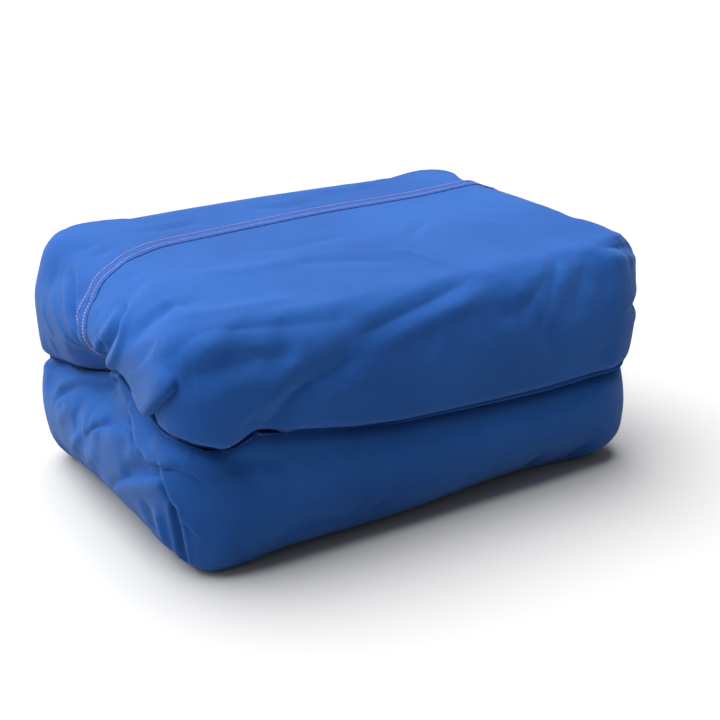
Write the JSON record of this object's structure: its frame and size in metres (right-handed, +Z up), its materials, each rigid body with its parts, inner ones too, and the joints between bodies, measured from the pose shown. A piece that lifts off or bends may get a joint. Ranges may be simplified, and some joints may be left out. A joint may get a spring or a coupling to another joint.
{
  "type": "infrared sauna blanket",
  "caption": "Padded heating blanket packed as a folded bundle; the two halves open about the fold, and a lead inlet sits on one end.",
  "frame": {"origin": "middle of the packed bundle's footprint, on the surface it lies on", "axes": "+Z up, +X along the bundle's long side, +Y towards the fold that joins the two halves"},
  "size_m": [0.6, 0.42, 0.2836],
  "materials": {
    "cover_cloth": "smooth matt woven polyester with a soft sheen, mid blue",
    "seam_thread": "lilac polyester topstitching thread",
    "wadding": "white polyester wadding",
    "casing_scrim": "grey non-woven scrim",
    "reflector_film": "aluminised film on a scrim",
    "heating_pad": "carbon-fibre heating cloth",
    "ribbon_silicone": "red silicone-covered flat lead",
    "felt": "dark grey needled felt",
    "liner_film": "waterproof PU-coated lining, black",
    "hook_tape": "navy nylon hook tape",
    "loop_tape": "navy nylon loop tape",
    "inlet_plastic": "black moulded plastic, fine texture",
    "inlet_rubber": "black silicone rubber",
    "contact_metal": "plated contact",
    "screw_steel": "stainless screw",
    "plate_steel": "plated steel",
    "lead_insulation": "black lead insulation",
    "cutout_ceramic": "off-white thermal cut-out body",
    "sensor_resin": "brown resin-dipped sensor"
  },
  "bodies": {
    "lower_half": {"outer_cover_lower": "cover_cloth", "spine_panel": "cover_cloth", "outer_sheet_wadding_lower": "wadding", "inner_sheet_wadding_lower": "wadding", "wadding_casing_lower": "casing_scrim", "outer_reflector_foil_lower": "reflector_film", "inner_reflector_foil_lower": "reflector_film", "outer_heating_pads_lower": "heating_pad", "inner_heating_pads_lower": "heating_pad", "supply_ribbons_lower": "ribbon_silicone", "moisture_felt_lower": "felt", "waterproof_liner_lower": "liner_film", "thermal_cutout_lower": "cutout_ceramic", "temperature_sensor_lower": "sensor_resin"},
    "upper_half": {"outer_cover_upper": "cover_cloth", "seam_lap": "cover_cloth", "seam_topstitching": "seam_thread", "inlet_housing": "inlet_plastic", "inlet_contacts": "contact_metal", "inlet_gasket": "inlet_rubber", "inlet_nut": "inlet_plastic", "inlet_screws": "screw_steel", "inlet_backing_plates": "plate_steel", "inlet_leads": "lead_insulation", "hook_tape": "hook_tape", "loop_tape": "loop_tape", "outer_sheet_wadding_upper": "wadding", "inner_sheet_wadding_upper": "wadding", "wadding_casing_upper": "casing_scrim", "outer_reflector_foil_upper": "reflector_film", "inner_reflector_foil_upper": "reflector_film", "outer_heating_pads_upper": "heating_pad", "inner_heating_pads_upper": "heating_pad", "supply_ribbons_upper": "ribbon_silicone", "moisture_felt_upper": "felt", "waterproof_liner_upper": "liner_film", "thermal_cutout_upper": "cutout_ceramic", "temperature_sensor_upper": "sensor_resin"}
  },
  "joints": [
    {"name": "fold_open", "type": "hinge", "parent": "lower_half", "child": "upper_half", "pos_m": [0, 0.207, 0.1412], "axis": [-1, 0, 0], "range_deg": [0, 180], "deforming": ["spine_panel"]}
  ]
}
